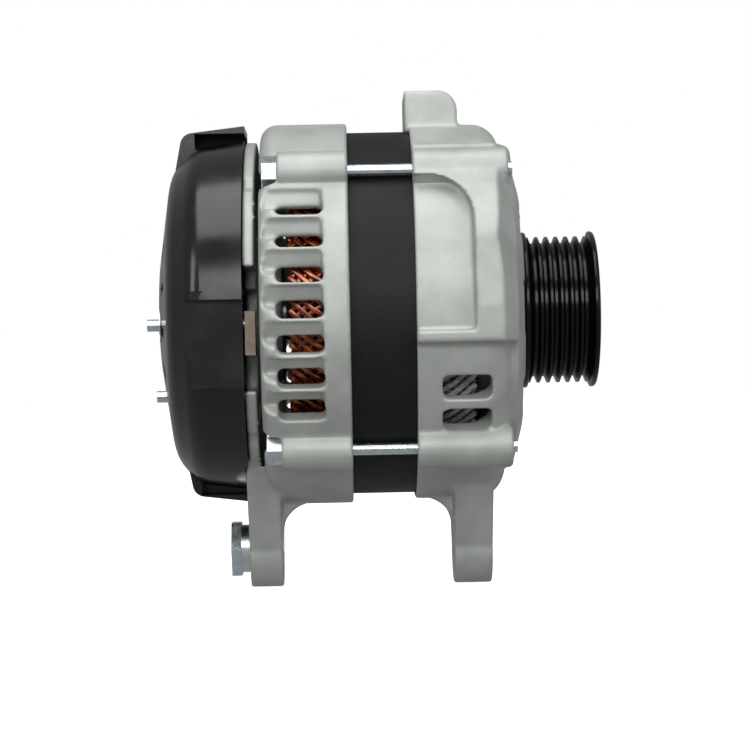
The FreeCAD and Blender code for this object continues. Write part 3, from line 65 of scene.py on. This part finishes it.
low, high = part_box("stator_core")
AXIS_Z = (low[2] + high[2]) / 2
CORE_REAR, CORE_FRONT = low[0], high[0]
CORE_RADIUS = (high[2] - low[2]) / 2
SLOTS = 96

# The mould's roundness on both castings.
CAST_VOXEL = 0.8 * MM
CAST_PASSES = 3

# Hairpins: flat wires in four layers, each leaning over three slots.
WIRE_WIDE = 1.7 * MM
WIRE_DEEP = 1.6 * MM
WIRE_EDGE = 0.35 * MM
LAYER_INSET = 1.0 * MM
LAYER_PITCH = 1.9 * MM
LAYER_DROP = 0.8 * MM
LAYER_LEANS = (3, -3, 3, -3)


# ---------------------------------------------------------------- materials

def linear(code):
    """A colour written as sRGB hex, as the linear values that Blender uses."""
    parts = [int(code[i:i + 2], 16) / 255 for i in (0, 2, 4)]
    return tuple(c / 12.92 if c <= 0.04045 else ((c + 0.055) / 1.055) ** 2.4 for c in parts) + (1.0,)


def add_node(tree, kind, settings=None, **links):
    """One node: its properties, socket values and ramp stops, and the sockets that feed it."""
    node = tree.nodes.new(kind)
    for name, setting in (settings or {}).items():
        if name == "stops":
            elements = node.color_ramp.elements
            while len(elements) < len(setting):
                elements.new(0.5)
            for element, (position, code) in zip(elements, setting):
                element.position = position
                element.color = linear(code)
        elif hasattr(node, name):
            setattr(node, name, setting)
        else:
            node.inputs[name].default_value = setting
    for name, source in links.items():
        socket = node.inputs[int(name[1:])] if name[1:].isdigit() else node.inputs[name.replace("_", " ")]
        tree.links.new(source, socket)
    return node.outputs[0]


def new_material(name, **surface):
    """A material with one surface shader, whose even values are set on the shader itself."""
    material = bpy.data.materials.new(name)
    material.use_nodes = True
    tree = material.node_tree
    shader = tree.nodes["Principled BSDF"]
    for socket, setting in surface.items():
        shader.inputs[socket.replace("_", " ")].default_value = setting
    coords = tree.nodes.new("ShaderNodeTexCoord").outputs["Object"]
    return material, tree, coords


def coat(material, tree, **patterns):
    """Lead patterns into the sockets of a material's shader."""
    shader = tree.nodes["Principled BSDF"]
    for socket, source in patterns.items():
        tree.links.new(source, shader.inputs[socket.replace("_", " ")])
    return material


def cast_aluminium():
    """Die-cast aluminium, shot blasted: pale, matt, finely grained, with dull cloudy patches."""
    material, tree, where = new_material("cast_aluminium", Metallic=0.55)
    cloud = add_node(tree, "ShaderNodeTexNoise", {"Scale": 1 / (14 * MM), "Detail": 4, "Roughness": 0.55}, Vector=where)
    blast = add_node(tree, "ShaderNodeTexNoise", {"Scale": 1 / (0.55 * MM), "Detail": 2, "Roughness": 0.55},
                     Vector=where)
    colour = add_node(tree, "ShaderNodeValToRGB", {"stops": [(0.3, "A9ADA8"), (0.5, "B3B7B2"), (0.7, "BBBFBA")]},
                      Fac=cloud)
    rough = add_node(tree, "ShaderNodeMapRange", {"From Min": 0.3, "From Max": 0.7, "To Min": 0.5, "To Max": 0.66},
                     Value=blast)
    dents = add_node(tree, "ShaderNodeBump", {"Distance": 0.05 * MM, "Strength": 0.6}, Height=blast)
    return coat(material, tree, Base_Color=colour, Roughness=rough, Normal=dents)


def lacquered_laminations():
    """A stack of steel sheets under black lacquer: satin, with faint lines along its edges."""
    material, tree, where = new_material("lacquered_laminations", Specular_IOR_Level=0.25)
    cloud = add_node(tree, "ShaderNodeTexNoise", {"Scale": 1 / (9 * MM), "Detail": 3, "Roughness": 0.55}, Vector=where)
    colour = add_node(tree, "ShaderNodeValToRGB", {"stops": [(0.3, "0F0F10"), (0.7, "161617")]}, Fac=cloud)
    rough = add_node(tree, "ShaderNodeMapRange", {"From Min": 0.3, "From Max": 0.7, "To Min": 0.5, "To Max": 0.6},
                     Value=cloud)
    # Sheets of 0.5 mm, drawn at 1 mm so that the lines show.
    lines = add_node(tree, "ShaderNodeTexWave", {"bands_direction": "X", "Scale": 1 / (3.2 * MM), "Distortion": 0.4,
                                                 "Detail": 1}, Vector=where)
    lines = lines.node.outputs["Fac"]
    edges = add_node(tree, "ShaderNodeBump", {"Distance": 0.04 * MM, "Strength": 0.5}, Height=lines)
    return coat(material, tree, Base_Color=colour, Roughness=rough, Normal=edges)


def enamelled_copper():
    """Copper wire under varnish: dark red-brown of its own, with painted orange glints laid into the colour in random
    patches.
    """
    material, tree, where = new_material("enamelled_copper", Metallic=0.75, Coat_Weight=0.6, Coat_Roughness=0.12)
    varnish_and_painted_glint = add_node(tree, "ShaderNodeTexNoise", {"Scale": 1 / (3 * MM), "Detail": 3, "Roughness": 0.55}, Vector=where)
    # The two darker stops are the wire's own red-brown; the orange top stop is a painted highlight, glints put into the
    # colour by the noise.
    colour = add_node(tree, "ShaderNodeValToRGB", {"stops": [(0.3, "4A1A10"), (0.5, "7E3318"), (0.72, "C96A2C")]},
                      Fac=varnish_and_painted_glint)
    rough = add_node(tree, "ShaderNodeMapRange", {"From Min": 0.3, "From Max": 0.7, "To Min": 0.22, "To Max": 0.36},
                     Value=varnish_and_painted_glint)
    return coat(material, tree, Base_Color=colour, Roughness=rough)


# name, even values, grain in mm, stretch along the axis, dark and light colour, lowest and highest
# roughness, bump's depth in mm or None
PLAIN_FINISHES = [
    # Impregnating varnish baked over the copper: a dull pale grey skin.
    ("resin_varnish", {"Specular IOR Level": 0.4}, 2.0, 1, ("6F7270", "A9ADA9"), (0.35, 0.5), None),
    # Bright zinc on steel: bluish white metal, slightly grained.
    ("zinc_plate", {"Metallic": 1.0}, 2.5, 1, ("C9D4DC", "E4ECF0"), (0.2, 0.32), 0.02),
    # Ground bearing steel: grey and smooth, with fine turning lines.
    ("ground_steel", {"Metallic": 1.0}, 1.2, 6, ("A9A9AA", "C4C4C6"), (0.22, 0.34), None),
    # Moulded nitrile rubber: matt brown-black.
    ("nitrile_rubber", {"Specular IOR Level": 0.3}, 1.5, 1, ("1D1713", "2A211B"), (0.6, 0.75), None),
    # Glass-filled nylon from a polished mould: glossy black with a slight ripple.
    ("glossy_nylon", {"IOR": 1.53}, 12.0, 1, ("0A0A0B", "111112"), (0.16, 0.24), 0.04),
    # Pressed soft iron: dark grey with a thin brown bloom.
    ("pole_iron", {"Metallic": 0.85}, 5.0, 1, ("6F6B66", "8D8C8A"), (0.4, 0.55), None),
    # Turned copper of the slip rings: bright, with fine lines round it.
    ("turned_copper", {"Metallic": 1.0}, 0.8, 5, ("B46A48", "D68C66"), (0.2, 0.32), None),
    # Gloss black enamel on turned steel, with the tool's lines just under it.
    ("black_enamel", {"IOR": 1.5, "Specular IOR Level": 0.2, "Coat Weight": 0.08, "Coat Roughness": 0.08}, 1.5, 8,
     ("060607", "0C0C0D"), (0.16, 0.26), 0.006),
    # Stamped aluminium sheet of the heat sinks: dull, with rolling marks.
    ("rolled_aluminium", {"Metallic": 0.9}, 2.0, 1, ("9C9C99", "B9B9B6"), (0.32, 0.45), None),
    # Moulded polyester resin: dull grey-brown with a mineral grain.
    ("brown_resin", {"Specular IOR Level": 0.35}, 1.8, 1, ("6E6258", "85786B"), (0.5, 0.65), None),
    # Pressed copper and carbon powder: near black with a dull metal fleck.
    ("brush_carbon", {"Metallic": 0.3}, 0.25, 1, ("1C1A19", "5A4034"), (0.45, 0.6), None),
]


def plain_finish(name, surface, grain, stretch, colours, roughness, depth):
    """A finish with one pattern, which varies its colour and its roughness."""
    material, tree, where = new_material(name, **surface)
    drawn = add_node(tree, "ShaderNodeMapping", {"Scale": (stretch, 1, 1)}, Vector=where)
    pattern = add_node(tree, "ShaderNodeTexNoise", {"Scale": 1 / (grain * MM), "Detail": 3, "Roughness": 0.55},
                       Vector=drawn)
    colour = add_node(tree, "ShaderNodeValToRGB", {"stops": [(0.3, colours[0]), (0.7, colours[1])]}, Fac=pattern)
    rough = add_node(tree, "ShaderNodeMapRange", {"From Min": 0.3, "From Max": 0.7, "To Min": roughness[0],
                                                  "To Max": roughness[1]}, Value=pattern)
    coat(material, tree, Base_Color=colour, Roughness=rough)
    if depth:
        marks = add_node(tree, "ShaderNodeBump", {"Distance": depth * MM}, Height=pattern)
        coat(material, tree, Normal=marks)
    return material


PLAIN = {row[0]: plain_finish(*row) for row in PLAIN_FINISHES}
FINISHES = {
    "cast_aluminium": cast_aluminium(),
    "lacquered_laminations": lacquered_laminations(),
    "enamelled_copper": enamelled_copper(),
    "zinc_steel": PLAIN["zinc_plate"],
    "bearing_steel": PLAIN["ground_steel"],
    "seal_rubber": PLAIN["nitrile_rubber"],
    "black_plastic": PLAIN["glossy_nylon"],
    "pole_iron": PLAIN["pole_iron"],
    "slip_copper": PLAIN["turned_copper"],
    "black_enamel": PLAIN["black_enamel"],
    "plate_aluminium": PLAIN["rolled_aluminium"],
    "brown_resin": PLAIN["brown_resin"],
    "diode_metal": PLAIN["ground_steel"],
    "brush_carbon": PLAIN["brush_carbon"],
}


def finish_node(node, slot):
    """Give a CAD piece the finish of its material slot."""
    piece = NODES[node]
    piece.data.materials.clear()
    piece.data.materials.append(FINISHES[slot])


for part in frame["record"]["subparts"]:
    finish_node(part["node"], part["material_slot"])


# ---------------------------------------------------------------- castings

def soften_casting(node):
    """Round the edges of a casting, as the mould leaves them."""
    piece = NODES[node]
    remesh = piece.modifiers.new("mould", "REMESH")
    remesh.mode = "VOXEL"
    remesh.voxel_size = CAST_VOXEL
    remesh.use_smooth_shade = True
    smooth = piece.modifiers.new("edges", "SMOOTH")
    smooth.factor = 0.5
    smooth.iterations = CAST_PASSES


soften_casting("front_bracket")
soften_casting("rear_bracket")


# ---------------------------------------------------------------- winding

def wire_path(side, start, lean, radius, reach):
    """The middle line of one hairpin's leg outside the core: out of its slot, then slanting round."""
    edge = CORE_FRONT if side > 0 else CORE_REAR
    steps = 9
    # The wire leaves its slot steeply for a quarter of its reach, and leans once it is clear.
    steepness = 2.2
    steep_share = 0.25
    slow_from = 0.2
    lean_from = 0.12
    points = []
    for i in range(steps + 1):
        t = i / steps
        slow = max(0, t - slow_from) / (1 - slow_from)
        out = min(t * steepness, 1) * steep_share + slow * (1 - steep_share)
        angle = start + lean * max(0, t - lean_from) / (1 - lean_from)
        points.append((edge + side * reach * out, angle, radius))
    return points


def add_wire(verts, faces, path, wide, deep):
    """Sweep a flat wire along a path of (x, angle, radius) points."""
    first = len(verts)
    count = len(path)
    places = [Vector((x, -r * math.cos(a), AXIS_Z + r * math.sin(a))) for x, a, r in path]
    for i, (x, a, r) in enumerate(path):
        ahead = (places[min(i + 1, count - 1)] - places[max(i - 1, 0)]).normalized()
        outward = Vector((0, -math.cos(a), math.sin(a)))
        across = ahead.cross(outward).normalized()
        for u, v in ((-1, -1), (1, -1), (1, 1), (-1, 1)):
            verts.append(places[i] + across * (u * wide / 2) + outward * (v * deep / 2))
    for i in range(count - 1):
        for k in range(4):
            a, b = first + 4 * i + k, first + 4 * i + (k + 1) % 4
            faces.append((a, b, b + 4, a + 4))
    faces.append((first + 3, first + 2, first + 1, first))
    last = first + 4 * (count - 1)
    faces.append((last, last + 1, last + 2, last + 3))


def hairpin_winding():
    """Four layers of flat wires at each end of the core, leaning opposite ways in turn."""
    winding_low, winding_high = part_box("stator_winding")
    reaches = {-1: CORE_REAR - winding_low[0], 1: winding_high[0] - CORE_FRONT}
    outer = (winding_high[2] - winding_low[2]) / 2
    verts, faces = [], []
    pitch = 2 * math.pi / SLOTS
    rear_faces = 0
    for side, reach in reaches.items():
        for layer, lean in enumerate(LAYER_LEANS):
            radius = outer - LAYER_INSET - LAYER_PITCH * layer
            for slot in range(SLOTS):
                length = reach - LAYER_DROP * (1 + layer % 2)
                path = wire_path(side, slot * pitch, lean * pitch, radius, length)
                add_wire(verts, faces, path, WIRE_WIDE, WIRE_DEEP)
        rear_faces = rear_faces or len(faces)
    mesh = bpy.data.meshes.new("hairpins")
    mesh.from_pydata(verts, [], faces)
    piece = bpy.data.objects.new("hairpins", mesh)
    bpy.context.collection.objects.link(piece)
    bevel = piece.modifiers.new("round", "BEVEL")
    bevel.width = WIRE_EDGE
    bevel.segments = 2
    mesh.materials.append(FINISHES["enamelled_copper"])
    mesh.materials.append(PLAIN["resin_varnish"])
    for face in mesh.polygons:
        face.use_smooth = True
        face.material_index = int(face.index >= rear_faces)
    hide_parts("stator_winding")
    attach(piece, "housing")
    return piece


hairpin_winding()


# ---------------------------------------------------------------- stage, light and camera

def white_floor():
    """A pale floor under the ears, wide enough to fill every view."""
    bottom = cad_box[0][2]
    bpy.ops.mesh.primitive_plane_add(size=12, location=(0, 0, bottom - 1 * MM))
    floor = bpy.context.object
    floor.name = "floor"
    # Lit from below like a photographer's light table, so that it stays white far from the lamps.
    material, tree, where = new_material("matt_white_paper", Roughness=0.9, Specular_IOR_Level=0.1,
                                          Emission_Color=(1, 1, 1, 1), Emission_Strength=0.95)
    cloud = add_node(tree, "ShaderNodeTexNoise", {"Scale": 1 / (200 * MM)}, Vector=where)
    colour = add_node(tree, "ShaderNodeValToRGB", {"stops": [(0.3, "F6F6F6"), (0.7, "FAFAFA")]}, Fac=cloud)
    floor.data.materials.append(coat(material, tree, Base_Color=colour))
    # Hidden from bounced light, so that the undersides stay in shade.
    floor.visible_diffuse = False
    floor.visible_glossy = False


def white_world():
    """White all round where the camera looks, and a softer grey light for the surfaces."""
    world = bpy.data.worlds.new("studio")
    world.use_nodes = True
    tree = world.node_tree
    tree.nodes.clear()
    seen_by_camera = add_node(tree, "ShaderNodeLightPath")
    seen = add_node(tree, "ShaderNodeBackground", {"Color": (1, 1, 1, 1), "Strength": 1.0})
    light = add_node(tree, "ShaderNodeBackground", {"Color": (1, 1, 1, 1), "Strength": 0.3})
    both = add_node(tree, "ShaderNodeMixShader", {}, Fac=seen_by_camera, _1=light, _2=seen)
    out = tree.nodes.new("ShaderNodeOutputWorld")
    tree.links.new(both, out.inputs["Surface"])
    bpy.context.scene.world = world


def softbox(name, place_at, aim, size, power):
    """A large rectangular lamp that points at the object."""
    lamp = bpy.data.lights.new(name, "AREA")
    lamp.shape = "RECTANGLE"
    lamp.size, lamp.size_y = size
    lamp.energy = power
    item = bpy.data.objects.new(name, lamp)
    item.location = place_at
    item.rotation_euler = (Vector(aim) - Vector(place_at)).to_track_quat("-Z", "Y").to_euler()
    bpy.context.collection.objects.link(item)


def studio():
    """Soft light from above, from both sides and from the front."""
    middle = (-0.034, 0, AXIS_Z)
    softbox("top_box", (-0.05, -0.3, 0.95), middle, (0.9, 0.7), 5.6)
    softbox("left_box", (-0.85, -0.75, 0.35), middle, (0.3, 0.8), 2.6)
    softbox("right_box", (0.9, -0.6, 0.45), middle, (0.4, 0.8), 1.6)
    softbox("front_box", (0.0, -1.15, 0.5), middle, (0.9, 0.4), 6.0)


def camera():
    """A long lens a little below the rotor's axis, almost square on to the side, rolled by a degree."""
    lens = bpy.data.cameras.new("camera")
    lens.lens = 115.8
    lens.sensor_width = 36
    lens.clip_end = 50
    item = bpy.data.objects.new("camera", lens)
    item.location = (-0.0437, -0.877, 0.062)
    aim = Vector((-0.034, 0, 0.062)) - item.location
    turn = aim.to_track_quat("-Z", "Y").to_matrix().to_4x4()
    item.matrix_world = Matrix.Translation(item.location) @ turn @ Matrix.Rotation(math.radians(-1.15), 4, "Z")
    bpy.context.collection.objects.link(item)
    bpy.context.scene.camera = item


white_floor()
white_world()
studio()
camera()
bpy.context.scene.view_settings.view_transform = "Standard"
